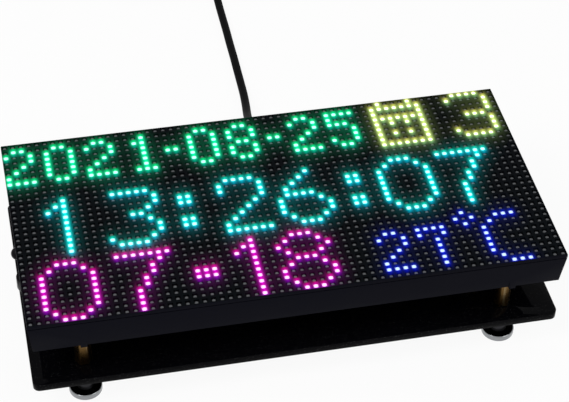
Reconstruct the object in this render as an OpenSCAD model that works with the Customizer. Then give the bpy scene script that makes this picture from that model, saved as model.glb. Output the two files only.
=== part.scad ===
// Desk clock built on a full-colour LED dot-matrix module: the module lies face up,
// parallel to a gloss black base plate, on four brass posts and four round magnet feet.
// X runs along the long side, Y from the front edge to the cable side, Z up from the table.

/* [Lamp grid] */
// Distance from one lamp to the next
pitch = 3; // [2.8:0.1:3.4]
// Lamps in one row
cols = 64; // [64:1:68]
// Rows of lamps
rows = 32; // [32:1:34]
// Square window in the mask round each lamp
window = 1.9; // [1.6:0.1:2.1]
// How much the module stays inside its own grid cell on each side
edge_gap = 0.15; // [0.1:0.05:0.3]

/* [Mask] */
// Depth of the fins between the rows
fin_t = 1.1; // [0.9:0.1:1.4]
// Depth of the bars that cross the fins on the face
bar_t = 0.5; // [0.4:0.1:0.8]
// Diameter of the pillars that the mask is screwed on by
pillar_d = 3.2; // [2.8:0.1:3.6]
// Length of the pillars below the mask
pillar_l = 3.6; // [3.2:0.2:4.4]
// Pilot bore in a pillar
pilot_d = 1.7; // [1.5:0.1:1.9]

/* [Module frame] */
// Height of the moulded frame
frame_h = 13; // [11.6:0.2:15]
// How far each side leans in from the mask to the rear
frame_draft = 1.3; // [0.5:0.1:2]
// Wall of the frame beside the circuit board
frame_wall = 1.85; // [1.4:0.05:2.2]
// Step that the circuit board rests on
board_ledge = 1.6; // [1:0.1:2]
// Thickness of the ribs
rib_t = 2.4; // [1.6:0.1:3]
// Width of the flat border and rib caps at the rear
cap_w = 6; // [5:0.5:8]
// Thickness of the border and rib caps
cap_t = 2; // [1.4:0.2:2.6]
// Height of the groove below the mask
seam_h = 0.4; // [0.3:0.1:0.6]
// Depth of the groove below the mask
seam_d = 0.35; // [0.2:0.05:0.5]
// Width of the chamfer along the rear edges
rear_chamfer = 0.8; // [0.4:0.1:1.2]
// Diameter of the post bosses
boss_d = 8.4; // [7:0.2:9]

/* [Lamp board] */
// Thickness of the lamp board
board_t = 1.6; // [1.2:0.1:2]
// Gap between the lamp board and the frame
board_gap = 0.3; // [0.2:0.05:0.5]
// Thickness of a lit lamp's lens
lens_t = 0.35; // [0.25:0.05:0.4]
// Gap between a lamp and the mask
lamp_gap = 0.05; // [0.03:0.01:0.1]

/* [Posts] */
// Distance from the module's short sides to the post axes
post_inset_x = 18.85; // [16.85:0.5:24.85]
// Distance from the module's long sides to the post axes
post_inset_y = 9.35; // [8.85:0.25:13.85]
// Length of the brass posts
post_l = 15; // [14:0.5:20]
// Width across the flats of the posts
post_af = 5.5; // [5:0.1:6]
// Diameter of the threads
thread_d = 3; // [2.5:0.1:3.2]
// Length of thread that a post has in the frame
post_thread_l = 5.5; // [4:0.5:6]
// Clearance round each thread
thread_gap = 0.05; // [0.03:0.01:0.1]
// Outside diameter of the brass inserts
insert_d = 4.6; // [4.4:0.1:5]

/* [Base plate] */
// Thickness of the base plate
plate_t = 3; // [2:0.5:5]
// Radius of the plate's corners
plate_r = 2.5; // [1:0.5:5]
// Diameter of the post holes in the plate
plate_hole_d = 3.3; // [3.3:0.1:4]

/* [Feet] */
// Diameter of the magnet cups
cup_d = 12; // [10:0.5:14]
// Height of the magnet cups
cup_h = 2.4; // [2.2:0.1:4]
// Diameter of the necks
neck_d = 6; // [5:0.2:7]
// Height of the necks
neck_h = 9.6; // [8:0.2:12]
// Diameter of the magnets
magnet_d = 9.6; // [7:0.2:9.8]
// Height of the magnets
magnet_h = 1.6; // [1:0.1:1.7]
// Gap round a magnet in its cup
magnet_gap = 0.3; // [0.2:0.05:0.5]

/* [Controller] */
// How far the controller board reaches past the module's middle
controller_reach = 14; // [12:0.5:18]
// Width of the controller board along Y
controller_d = 40; // [38:1:46]
// Thickness of the controller board
controller_t = 1.6; // [1.2:0.1:2]
// Gap between the controller board and the frame
controller_gap = 1.6; // [1:0.1:2.4]
// Distance from the module's short sides to the data headers
header_inset = 11.85; // [10.85:0.25:13.85]

/* [Power cord] */
// Diameter of the cord
cord_d = 3.5; // [3:0.1:4]
// Thickness of the hook-and-loop tie round the coil
tie_t = 0.8; // [0.6:0.1:1]
// Radius of the coil at the middle of its winding
coil_r = 20; // [19:0.5:21]
// Turns side by side in the coil
coil_rings = 3; // [3:1:4]
// Layers of turns in the coil
coil_layers = 2; // [2:1:3]

/* [Hidden] */
$fn = 48;
eps = 0.01;

// Overall size of the module and heights of its layers, from the table up
panel_w = cols * pitch - 2 * edge_gap;
panel_d = rows * pitch - 2 * edge_gap;
plate_z = cup_h + neck_h;
post_z = plate_z + plate_t;
frame_z = post_z + post_l;
mask_z = frame_z + frame_h;
mask_t = fin_t + bar_t;
face_z = mask_z + mask_t;
board_z = mask_z - board_t;
lamp_w = window - 2 * lamp_gap;
lamp_h = fin_t - lamp_gap;
pocket_w = panel_w - 2 * frame_wall;
pocket_d = panel_d - 2 * frame_wall;
cavity_w = pocket_w - 2 * board_ledge;
cavity_d = pocket_d - 2 * board_ledge;
board_w = pocket_w - 2 * board_gap;
board_d = pocket_d - 2 * board_gap;
rib_x = cols * pitch / 6;
rib_xs = [-rib_x, rib_x];

// Mask pillars stand where two bars of the mask cross
pillar_clear = 0.2;
pillar_row_y = floor((rows / 2) - 3) * pitch;
pillar_cols = [floor(cols / 2) - 3, floor(cols / 4) - 1, 0];
pillar_xs = [for (s = [-1, 1]) for (k = pillar_cols) if (k > 0 || s > 0) s * k * pitch];
pillars = [for (x = pillar_xs) for (s = [-1, 1]) [x, s * pillar_row_y]];
screw_d = pilot_d - 0.1;
screw_head_d = 3.6;
screw_head_h = 1.4;
screw_seat_z = board_z - pillar_l + board_t - 2.4;
screw_boss_d = 5.6;
screw_tip = pillar_l - 1.2;

// Post axes
post_x = panel_w / 2 - post_inset_x;
post_y = panel_d / 2 - post_inset_y;
posts = [[-post_x, -post_y], [post_x, -post_y], [-post_x, post_y], [post_x, post_y]];
insert_l = post_thread_l + 0.8;
stud_in_post = 7;
post_bore_l = stud_in_post + 1;
stud_in_neck = neck_h - 3;
neck_bore_l = stud_in_neck + 0.6;

// Parts on the rear of the lamp board
chip = [8.6, 3.9, 1.5];
chip_lead_w = 6;
chip_lead_t = 0.25;
buffer_chip = [12.8, 7.5, 1.8];
switch_chip = [4.9, 3.9, 1.5];
chip_xs = [for (s = [-1, 1]) for (beside_rib = [-8, 14, 38]) s * (rib_x + beside_rib)];
chip_ys = [-30, -12, 12, 30];
buffer_x = -rib_x - 26;
buffer_ys = [-21, -8, 8, 21];
switch_x = rib_x + 26;
switch_ys = [-30, -22, -14, -6, 6, 14, 22, 30];
can_d = 7.8;
can_h = 7.2;
can_base = [8.3, 8.3, 1.2];
cans = [[-7, -22], [14, -25], [-13, 23], [9, 23]];

// Two-row data headers with a shroud, and the four-way power header
header_x = panel_w / 2 - header_inset;
pin_pitch = 2.54;
pin_w = 0.64;
pins_long = 8;
shroud = [8.9, 28, 9];
shroud_wall = 1.3;
shroud_floor = 2.4;
pin_tip = 7.4;
power_pitch = 3.96;
power_ways = 4;
power_pin_w = 1.14;
power_base = [15.8, 8.4, 3.2];
power_lock_h = 8.4;
power_lock_t = 1.2;
power_tip = 9.5;
rib_clear = 1.2;

// Controller board, hanging below the frame on its two sockets
controller_z = frame_z - controller_gap - controller_t;
controller_top = controller_z + controller_t;
controller_inset = 1.9;
controller_left = -panel_w / 2 + controller_inset;
controller_w = controller_reach - controller_left;
controller_x = (controller_left + controller_reach) / 2;
controller_y = 4;
controller_rear = controller_y + controller_d / 2;
socket_entry = 6;
data_socket_size = [5, pins_long * pin_pitch, board_z - shroud[2] + socket_entry - controller_top];
data_slot = 0.84;
power_socket_size = [15.8, 7.6, board_z - power_base[2] - 0.3 - controller_top];
power_slot = 1.4;
slot_gap = 0.6;

radio = [18, 25.5, 0.8];
radio_can_size = [15.8, 17.6, 2.4];
radio_at = [-44, 4];
cell_d = 20;
cell_h = 3.2;
cell_at = [-16, 2];
holder = [22, 16, 4.6];
holder_floor = 0.9;
cell_gap = 0.15;
buzzer_d = 12;
buzzer_h = 8.5;
buzzer_at = [-66, 14];
sensor_d = 5;
sensor_l = 8.6;
sensor_flange = 5.8;
sensor_y = 10.5;
sensor_reach = 1.35;
receiver = [5.2, 7.2, 7.6];
receiver_y = -4.7;
receiver_reach = 0.75;
usb = [8.94, 7.35, 3.26];
usb_wall = 0.3;
usb_back = 0.8;
usb_x = 4;
usb_reach = 0.55;
usb_tongue = [6.5, 4.5, 0.7];
usb_z = controller_z - usb[2] / 2;

// Plug at the clock's end of the cord
dev_shell = [8.25, 6.65, 2.4];
dev_slot = [6.95, 5.2, 0.95];
dev_grip = [12, 21, 6.4];
dev_relief_l = 9;
dev_face_y = controller_rear + usb_reach + 0.3;
cord_exit_y = dev_face_y + dev_grip[1] + dev_relief_l;

// Route of the cord from the plug down to the table and back to the coil
table_z = cord_d / 2;
route = [
  [usb_x, cord_exit_y, usb_z], [usb_x, cord_exit_y + 4, usb_z], [4.2, 64, 23.4],
  [4.8, 72, 19.6], [5.8, 80, 14.8], [6.9, 88, 10], [8, 96, 6.2], [9.2, 105, 3.4],
  [10, 114, 2.1], [10.3, 123, table_z], [10.5, 132, table_z], [10.7, 141, table_z],
  [10.8, 150, table_z], [11, 159, table_z], [11.1, 168, table_z], [11.2, 177, table_z],
  [11.4, 186, table_z], [11.5, 196, table_z], [11.5, 207, table_z]];

// The coil rests on its tie, clear of the cord that runs up to it
coil_x = -12;
coil_y = 220;
coil_half_w = coil_rings * cord_d / 2;
coil_in = coil_r - coil_half_w;
coil_out = coil_r + coil_half_w;
coil_h = coil_layers * cord_d;
coil_z = tie_t;
tie_w = 6;
tie_gap = 0.1;
tie_bow = coil_in - sqrt(pow(coil_in, 2) - pow(tie_w / 2, 2));
tail_y = coil_y + coil_out - cord_d / 2;
tail_z = coil_z + coil_h - cord_d / 2;
tail_gap = 0.3;
tail_x = coil_x - sqrt(pow(coil_out, 2) - pow(coil_out - cord_d, 2)) - tail_gap;
tail_l = 14;

// Plug at the supply end, lying beside the coil
sup_grip = [30, 15.6, 7.8];
sup_relief_l = 9;
sup_shell = [18.6, 12, 4.5];
sup_wall = 0.4;
sup_tongue = [16, 10.6, 1.9];
sup_z = sup_grip[2] / 2;
sup_x = tail_x - tail_l - sup_relief_l;
tail_drop = tail_z - sup_z;
tail = [for (step = [[0, 0], [1, 0.15], [2, 0.6], [3, 1], [4, 1]])
  [tail_x - tail_l * step[0] / 4, tail_y, tail_z - tail_drop * step[1]]];

// Readings on the display, one string to a row of dots
SMALL = [
  ["0", [" ## ", "#  #", "#  #", "#  #", "#  #", "#  #", " ## "]],
  ["1", ["  # ", " ## ", "  # ", "  # ", "  # ", "  # ", " ###"]],
  ["2", [" ## ", "#  #", "   #", "  # ", " #  ", "#   ", "####"]],
  ["5", ["####", "#   ", "### ", "   #", "   #", "#  #", " ## "]],
  ["7", ["####", "#  #", "  # ", "  # ", "  # ", "  # ", "  # "]],
  ["8", [" ## ", "#  #", "#  #", " ## ", "#  #", "#  #", " ## "]],
  ["-", ["  ", "  ", "  ", "##", "  ", "  ", "  "]]];
LARGE = [
  ["0", ["  ###  ", " #   # ", "#     #", "#     #", "#     #",
         "#     #", "#     #", "#     #", " #   # ", "  ###  "]],
  ["1", ["  #", " ##", "# #", "  #", "  #", "  #", "  #", "  #", "  #", "  #"]],
  ["2", [" #### ", "#    #", "#    #", "     #", "    # ",
         "   #  ", "  #   ", " #    ", "#     ", "######"]],
  ["3", [" ##### ", "#     #", "      #", "     # ", "   ##  ",
         "     # ", "      #", "      #", "#     #", " ##### "]],
  ["6", ["    #  ", "   #   ", "  #    ", " #     ", " ####  ",
         "#    # ", "#     #", "#     #", " #   # ", "  ###  "]],
  ["7", ["#######", "     # ", "    #  ", "    #  ", "   #   ",
         "   #   ", "  #    ", "  #    ", "  #    ", "  #    "]],
  ["8", ["  ###  ", " #   # ", "#     #", " #   # ", "  ###  ",
         " #   # ", "#     #", "#     #", " #   # ", "  ###  "]],
  ["-", ["   ", "   ", "   ", "   ", "###", "###", "   ", "   ", "   ", "   "]],
  [":", ["  ", "  ", "##", "##", "  ", "  ", "##", "##", "  ", "  "]]];
SIGNS = [
  ["calendar", ["  #   #  ", " ####### ", " #     # ", " ####### ", " # # # # ",
                " #     # ", " # # # # ", " #     # ", " ####### "]],
  ["three", [" #### ", "#    #", "     #", "     #", "  ### ", "     #", "     #", "#    #", " #### "]],
  ["degrees", [" #    ", "# # ##", " # #  ", "   #  ", "   #  ", "   #  ", "   #  ", "   #  ", "    # ", "     #"]],
  ["arc", ["#  ", "   ", "   ", "   ", "   ", "   ", "   ", "   ", "###"]]];

function glyph(font, name) = [for (entry = font) if (entry[0] == name) entry[1]][0];
function lamp_x(col) = (col - (cols - 1) / 2) * pitch;
function lamp_y(row) = ((rows - 1) / 2 - row) * pitch;

// Box centred in X and Y, standing on z = 0
module block(size) {
  translate([-size[0] / 2, -size[1] / 2, 0]) cube(size);
}

// Box centred in X and Y, hanging below z = 0
module hanging(size) {
  translate([-size[0] / 2, -size[1] / 2, -size[2]]) cube(size);
}

// Bar along Y with round edges on its two long sides
module round_bar(size) {
  r = size[2] / 2;
  rotate([90, 0, 0]) translate([0, 0, -size[1] / 2]) linear_extrude(size[1]) union() {
    square([size[0] - size[2], size[2]], center = true);
    for (s = [-1, 1]) translate([s * (size[0] / 2 - r), 0]) circle(r);
  }
}

// Tapered block: w by d at its top, inset all round at its foot, with the foot's edges cut
module drafted(w, d, h, inset, cut) {
  intersection() {
    rotate([90, 0, 0]) translate([0, 0, -d]) linear_extrude(2 * d) draft_profile(w, h, inset, cut);
    rotate([90, 0, 90]) translate([0, 0, -w]) linear_extrude(2 * w) draft_profile(d, h, inset, cut);
  }
}

module draft_profile(w, h, inset, cut) {
  low = w / 2 - inset;
  polygon([[-low + cut, 0], [low - cut, 0], [low, cut], [w / 2, h], [-w / 2, h], [-low, cut]]);
}

// Lit lamps of one word or sign, its first dot at the given column and row
module word(font, name, col, row) {
  shape = glyph(font, name);
  for (r = [0:len(shape) - 1]) for (c = [0:len(shape[r]) - 1]) if (shape[r][c] == "#")
    translate([lamp_x(col + c), lamp_y(row + r), mask_z + lamp_h]) block([lamp_w, lamp_w, lens_t]);
}

// Signs at the columns listed beside them
module line_of(font, names, starts, row) {
  for (i = [0:len(names) - 1]) word(font, names[i], starts[i], row);
}

module lit_green() {
  color([0.35, 0.95, 0.35])
    line_of(SMALL, ["2", "0", "2", "1", "-", "0", "8", "-", "2", "5"],
      [0, 5, 10, 15, 20, 23, 28, 33, 36, 41], 1);
}

module lit_yellow() {
  color([0.98, 0.92, 0.35]) line_of(SIGNS, ["calendar", "three"], [46, 57], 0);
}

module lit_cyan() {
  color([0.3, 0.95, 1])
    line_of(LARGE, ["1", "3", ":", "2", "6", ":", "0", "7"], [4, 11, 20, 25, 32, 41, 45, 53], 11);
}

module lit_magenta() {
  color([1, 0.35, 0.95]) line_of(LARGE, ["0", "7", "-", "1", "8"], [2, 11, 20, 25, 30], 22);
}

module lit_blue() {
  color([0.3, 0.4, 1]) union() {
    line_of(SMALL, ["2", "7"], [42, 47], 24);
    line_of(SIGNS, ["degrees", "arc"], [52, 57], 22);
  }
}

// One lattice: fins along the rows, with thinner bars across them on the face, and a rim
module display_mask() {
  fin = pitch - window;
  color([0.09, 0.09, 0.1]) union() {
    difference() {
      translate([0, 0, mask_z]) block([panel_w, panel_d, mask_t]);
      translate([0, 0, mask_z - eps])
        block([cols * pitch - fin, rows * pitch - fin, mask_t + 2 * eps]);
    }
    for (r = [1:rows - 1]) translate([0, (r - rows / 2) * pitch, mask_z])
      block([cols * pitch - fin, fin, fin_t]);
    for (c = [1:cols - 1]) translate([(c - cols / 2) * pitch, 0, mask_z + fin_t])
      block([fin, rows * pitch - fin, bar_t]);
    for (p = pillars) translate([p[0], p[1], mask_z - pillar_l]) difference() {
      cylinder(d = pillar_d, h = pillar_l);
      translate([0, 0, -eps]) cylinder(d = pilot_d, h = pillar_l - 0.8);
    }
  }
}

// Unlit lamps, each row's packages as one bar between the fins
module led_rows() {
  color([0.42, 0.42, 0.43])
    for (r = [0:rows - 1]) translate([0, lamp_y(r), mask_z])
      block([cols * pitch - pitch + lamp_w, lamp_w, lamp_h]);
}

module led_board() {
  color([0.05, 0.2, 0.12]) difference() {
    translate([0, 0, board_z]) block([board_w, board_d, board_t]);
    for (p = pillars) translate([p[0], p[1], board_z - eps])
      cylinder(d = pillar_d + 2 * pillar_clear, h = board_t + 2 * eps);
  }
}

// Ribs of the frame: a web with a flat cap along the rear
module frame_rib(length, along_x) {
  size = along_x ? [length, rib_t] : [rib_t, length];
  cap = along_x ? [length, cap_w] : [cap_w, length];
  translate([0, 0, frame_z]) block([size[0], size[1], board_z - frame_z]);
  translate([0, 0, frame_z]) block([cap[0], cap[1], cap_t]);
}

module panel_frame() {
  header_window = [shroud[0] + 2 * rib_clear, shroud[1] + 2 * rib_clear];
  power_window = [power_base[0] + 2 * rib_clear, power_base[1] + 2 * rib_clear];
  color([0.13, 0.13, 0.14]) difference() {
    union() {
      difference() {
        translate([0, 0, frame_z]) drafted(panel_w, panel_d, frame_h, frame_draft, rear_chamfer);
        translate([0, 0, board_z]) block([pocket_w, pocket_d, board_t + 1]);
        translate([0, 0, frame_z + cap_t]) block([cavity_w, cavity_d, frame_h]);
        translate([0, 0, frame_z - 1])
          block([cavity_w - 2 * cap_w, cavity_d - 2 * cap_w, frame_h]);
        translate([0, 0, mask_z - seam_h]) difference() {
          block([panel_w + 2, panel_d + 2, seam_h + 1]);
          translate([0, 0, -1]) block([panel_w - 2 * seam_d, panel_d - 2 * seam_d, seam_h + 3]);
        }
      }
      for (x = rib_xs) translate([x, 0, 0]) frame_rib(cavity_d, false);
      frame_rib(cavity_w, true);
      for (p = posts) translate([p[0], p[1], frame_z]) {
        cylinder(d = boss_d, h = board_z - frame_z);
        translate([0, sign(p[1]) * boss_d / 2, 0]) block([rib_t, boss_d, board_z - frame_z]);
      }
      for (p = pillars) translate([p[0], p[1], frame_z]) {
        cylinder(d = screw_boss_d, h = board_z - frame_z);
        translate([0, sign(p[1]) * screw_boss_d / 2, 0]) block([rib_t, screw_boss_d, board_z - frame_z]);
      }
    }
    for (s = [-1, 1]) translate([s * header_x, 0, frame_z - 1])
      block([header_window[0], header_window[1], frame_h]);
    translate([0, 0, frame_z - 1]) block([power_window[0], power_window[1], frame_h]);
    for (p = posts) translate([p[0], p[1], frame_z - eps]) cylinder(d = insert_d, h = insert_l + eps);
    for (p = pillars) translate([p[0], p[1], 0]) {
      translate([0, 0, mask_z - pillar_l]) cylinder(d = pillar_d + 2 * pillar_clear, h = pillar_l);
      translate([0, 0, frame_z]) cylinder(d = pilot_d + 0.5, h = frame_h);
      translate([0, 0, frame_z - eps]) cylinder(d = screw_head_d + 0.4, h = screw_seat_z - frame_z + eps);
    }
  }
}

module mask_screws() {
  color([0.6, 0.6, 0.62]) for (p = pillars) translate([p[0], p[1], screw_seat_z]) {
    translate([0, 0, -screw_head_h]) cylinder(d = screw_head_d, h = screw_head_h);
    cylinder(d = screw_d, h = mask_z - pillar_l - screw_seat_z + screw_tip);
  }
}

module frame_inserts() {
  color([0.8, 0.62, 0.3]) for (p = posts) translate([p[0], p[1], frame_z]) difference() {
    cylinder(d = insert_d, h = insert_l);
    translate([0, 0, -eps]) cylinder(d = thread_d + 2 * thread_gap, h = insert_l + 2 * eps);
  }
}

module driver_chips() {
  color([0.12, 0.12, 0.13]) for (x = chip_xs) for (y = chip_ys)
    translate([x, y, board_z - chip_lead_t]) hanging([chip[0], chip[1], chip[2] - chip_lead_t]);
}

module driver_leads() {
  color([0.75, 0.75, 0.77]) for (x = chip_xs) for (y = chip_ys)
    translate([x, y, board_z]) hanging([chip[0] - 0.6, chip_lead_w, chip_lead_t]);
}

module buffer_chips() {
  color([0.12, 0.12, 0.13]) for (y = buffer_ys)
    translate([buffer_x, y, board_z]) hanging(buffer_chip);
}

module row_switch_chips() {
  color([0.12, 0.12, 0.13]) for (y = switch_ys)
    translate([switch_x, y, board_z]) hanging(switch_chip);
}

module capacitor_bases() {
  color([0.1, 0.1, 0.1]) for (p = cans) translate([p[0], p[1], board_z]) hanging(can_base);
}

module capacitor_cans() {
  color([0.75, 0.76, 0.78]) for (p = cans)
    translate([p[0], p[1], board_z - can_base[2] - can_h]) rotate_extrude()
      polygon([[0, 0], [can_d / 2 - 0.5, 0], [can_d / 2, 0.5], [can_d / 2, can_h - 1.9],
        [can_d / 2 - 0.4, can_h - 1.5], [can_d / 2, can_h - 1.1], [can_d / 2, can_h], [0, can_h]]);
}

// Shrouded header with its keying notch towards the middle of the module
module data_shroud(side) {
  color([0.1, 0.1, 0.1]) translate([side * header_x, 0, board_z]) difference() {
    hanging(shroud);
    translate([0, 0, -shroud_floor])
      hanging([shroud[0] - 2 * shroud_wall, shroud[1] - 2 * shroud_wall, shroud[2]]);
    translate([-side * shroud[0] / 2, 0, -shroud_floor - 1.2]) hanging([shroud[0], 4.4, shroud[2]]);
    for (i = [0:pins_long - 1]) for (s = [-1, 1])
      translate([s * pin_pitch / 2, (i - (pins_long - 1) / 2) * pin_pitch, 1])
        hanging([pin_w, pin_w, shroud_floor + 2]);
  }
}

module data_in_shroud() {
  data_shroud(-1);
}

module data_out_shroud() {
  data_shroud(1);
}

module data_pins() {
  color([0.85, 0.7, 0.35]) for (side = [-1, 1]) for (i = [0:pins_long - 1]) for (s = [-1, 1])
    translate([side * header_x + s * pin_pitch / 2, (i - (pins_long - 1) / 2) * pin_pitch, board_z])
      hanging([pin_w, pin_w, pin_tip]);
}

module power_header() {
  color([0.92, 0.92, 0.88]) translate([0, 0, board_z]) difference() {
    union() {
      hanging(power_base);
      translate([0, -power_base[1] / 2 + power_lock_t / 2, 0])
        hanging([power_base[0] - 4, power_lock_t, power_lock_h - 0.6]);
    }
    for (i = [0:power_ways - 1]) translate([(i - (power_ways - 1) / 2) * power_pitch, 1, 1])
      hanging([power_pin_w, power_pin_w, power_base[2] + 2]);
  }
}

module power_pins() {
  color([0.8, 0.8, 0.82]) for (i = [0:power_ways - 1])
    translate([(i - (power_ways - 1) / 2) * power_pitch, 1, board_z])
      hanging([power_pin_w, power_pin_w, power_tip]);
}

module controller_board() {
  color([0.05, 0.06, 0.12]) translate([controller_x, controller_y, controller_z])
    block([controller_w, controller_d, controller_t]);
}

module data_socket() {
  color([0.1, 0.1, 0.1]) translate([-header_x, 0, controller_top]) difference() {
    block(data_socket_size);
    for (i = [0:pins_long - 1]) for (s = [-1, 1])
      translate([s * pin_pitch / 2, (i - (pins_long - 1) / 2) * pin_pitch,
        board_z - pin_tip - slot_gap - controller_top])
        block([data_slot, data_slot, data_socket_size[2]]);
  }
}

module power_socket() {
  color([0.9, 0.9, 0.86]) translate([0, 1, controller_top]) difference() {
    block([power_socket_size[0], power_socket_size[1] - 2.2, power_socket_size[2]]);
    for (i = [0:power_ways - 1])
      translate([(i - (power_ways - 1) / 2) * power_pitch, 0,
        board_z - power_tip - slot_gap - controller_top])
        block([power_slot, power_slot, power_socket_size[2]]);
  }
}

module radio_module() {
  color([0.08, 0.1, 0.1]) translate([radio_at[0], radio_at[1], controller_z]) hanging(radio);
}

module radio_can() {
  color([0.7, 0.71, 0.72]) translate([radio_at[0], radio_at[1] - 2.6, controller_z - radio[2]])
    hanging(radio_can_size);
}

module coin_cell_holder() {
  color([0.12, 0.12, 0.12]) translate([cell_at[0], cell_at[1], controller_z]) difference() {
    hanging(holder);
    translate([0, 0, -holder_floor - cell_h - 2 * cell_gap])
      cylinder(d = cell_d + 2 * cell_gap, h = cell_h + 2 * cell_gap);
    translate([0, 0, -holder[2] - 1]) cylinder(d = cell_d - 5, h = 3);
  }
}

module coin_cell() {
  color([0.8, 0.8, 0.8]) translate([cell_at[0], cell_at[1], controller_z - holder_floor - cell_gap - cell_h])
    cylinder(d = cell_d, h = cell_h);
}

module buzzer() {
  color([0.1, 0.1, 0.1]) translate([buzzer_at[0], buzzer_at[1], controller_z - buzzer_h]) difference() {
    cylinder(d = buzzer_d, h = buzzer_h);
    translate([0, 0, -eps]) cylinder(d = 2, h = 2);
  }
}

// Domed light sensor lying along the board's left edge
module light_sensor() {
  tip_x = -panel_w / 2 - sensor_reach;
  color([0.25, 0.25, 0.27]) translate([tip_x, sensor_y, controller_z - sensor_flange / 2])
    rotate([0, 90, 0]) rotate_extrude() intersection() {
      union() {
        translate([0, sensor_d / 2]) circle(sensor_d / 2);
        translate([0, sensor_d / 2]) square([sensor_d / 2, sensor_l - sensor_d / 2]);
        translate([0, sensor_l - 1]) square([sensor_flange / 2, 1]);
      }
      square([sensor_d, sensor_l]);
    }
}

// Infrared receiver lying on its back, its lens facing out at the left
module ir_receiver() {
  face_x = -panel_w / 2 - receiver_reach;
  color([0.1, 0.09, 0.1]) translate([face_x, receiver_y, controller_z - receiver[0]]) union() {
    translate([1, -receiver[1] / 2, 0]) cube([receiver[2], receiver[1], receiver[0]]);
    intersection() {
      translate([receiver[1] / 2 + 0.4, 0, 0]) cylinder(d = receiver[1] + 0.8, h = receiver[0]);
      translate([0, -receiver[1] / 2, 0]) cube([1 + eps, receiver[1], receiver[0]]);
    }
  }
}

module usb_socket() {
  cavity = [usb[0] - 2 * usb_wall, usb[1], usb[2] - 2 * usb_wall];
  mouth_y = controller_rear + usb_reach;
  color([0.72, 0.73, 0.75]) translate([usb_x, mouth_y - usb[1] / 2, usb_z]) union() {
    difference() {
      round_bar(usb);
      translate([0, usb_back, 0]) round_bar(cavity);
    }
    translate([-usb_tongue[0] / 2, usb_back - usb[1] / 2 - eps, -usb_tongue[2] / 2]) cube(usb_tongue);
  }
}

module post_at(p) {
  color([0.83, 0.66, 0.34]) translate([p[0], p[1], post_z]) difference() {
    union() {
      cylinder(d = post_af / cos(30), h = post_l, $fn = 6);
      cylinder(d = thread_d, h = post_l + post_thread_l);
    }
    translate([0, 0, -eps]) cylinder(d = thread_d + 2 * thread_gap, h = post_bore_l + eps);
  }
}

module post_front_left() {
  post_at(posts[0]);
}

module post_front_right() {
  post_at(posts[1]);
}

module post_rear_left() {
  post_at(posts[2]);
}

module post_rear_right() {
  post_at(posts[3]);
}

module base_plate() {
  w = panel_w / 2 - plate_r;
  d = panel_d / 2 - plate_r;
  color([0.03, 0.03, 0.03]) translate([0, 0, plate_z]) linear_extrude(plate_t) difference() {
    union() {
      square([2 * w, panel_d], center = true);
      square([panel_w, 2 * d], center = true);
      for (sx = [-1, 1]) for (sy = [-1, 1]) translate([sx * w, sy * d]) circle(plate_r);
    }
    for (p = posts) translate(p) circle(d = plate_hole_d);
  }
}

// Turned foot: a neck on a round cup that holds a magnet
module foot_at(p) {
  color([0.62, 0.64, 0.66]) translate([p[0], p[1], 0]) difference() {
    rotate_extrude() polygon([[0, 0], [cup_d / 2 - 0.2, 0], [cup_d / 2, 0.2], [cup_d / 2, cup_h - 0.3],
      [cup_d / 2 - 0.3, cup_h], [neck_d / 2, cup_h], [neck_d / 2, plate_z], [0, plate_z]]);
    translate([0, 0, -eps]) cylinder(d = magnet_d + 2 * magnet_gap, h = magnet_h + eps);
    translate([0, 0, plate_z - neck_bore_l]) cylinder(d = thread_d + 2 * thread_gap, h = neck_bore_l + eps);
  }
}

module foot_front_left() {
  foot_at(posts[0]);
}

module foot_front_right() {
  foot_at(posts[1]);
}

module foot_rear_left() {
  foot_at(posts[2]);
}

module foot_rear_right() {
  foot_at(posts[3]);
}

module foot_magnets() {
  color([0.5, 0.5, 0.52]) for (p = posts) translate([p[0], p[1], 0]) cylinder(d = magnet_d, h = magnet_h);
}

module foot_studs() {
  color([0.7, 0.7, 0.72]) for (p = posts) translate([p[0], p[1], plate_z - stud_in_neck])
    cylinder(d = thread_d, h = stud_in_neck + plate_t + stud_in_post);
}

// Shell of the plug at the clock's end, with its slot open towards the socket
module device_plug_shell() {
  color([0.75, 0.76, 0.78]) translate([usb_x, dev_face_y - dev_shell[1] / 2, usb_z]) difference() {
    round_bar(dev_shell);
    translate([0, -(dev_shell[1] - dev_slot[1]) / 2 - eps, 0]) round_bar(dev_slot);
  }
}

module device_plug_grip() {
  color([0.07, 0.07, 0.07]) translate([usb_x, dev_face_y + dev_grip[1] / 2, usb_z]) union() {
    round_bar(dev_grip);
    translate([0, dev_grip[1] / 2, 0]) rotate([-90, 0, 0])
      cylinder(d1 = dev_grip[2] - 0.8, d2 = cord_d + 0.8, h = dev_relief_l);
  }
}

module supply_plug_grip() {
  color([0.07, 0.07, 0.07]) translate([sup_x - sup_grip[0] / 2, tail_y, sup_z]) rotate([0, 0, 90]) union() {
    round_bar([sup_grip[1], sup_grip[0], sup_grip[2]]);
    translate([0, -sup_grip[0] / 2, 0]) rotate([90, 0, 0])
      cylinder(d1 = sup_grip[2] - 1.6, d2 = cord_d + 0.8, h = sup_relief_l);
  }
}

module supply_plug_shell() {
  color([0.78, 0.79, 0.8]) translate([sup_x - sup_grip[0] - sup_shell[0], tail_y - sup_shell[1] / 2,
    sup_z - sup_shell[2] / 2]) union() {
    difference() {
      cube(sup_shell);
      translate([-eps, sup_wall, sup_wall])
        cube([sup_shell[0] - 1, sup_shell[1] - 2 * sup_wall, sup_shell[2] - 2 * sup_wall]);
    }
    translate([1, (sup_shell[1] - sup_tongue[1]) / 2, sup_wall]) cube([sup_tongue[0] + 1.6, sup_tongue[1], sup_tongue[2]]);
  }
}

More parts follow.
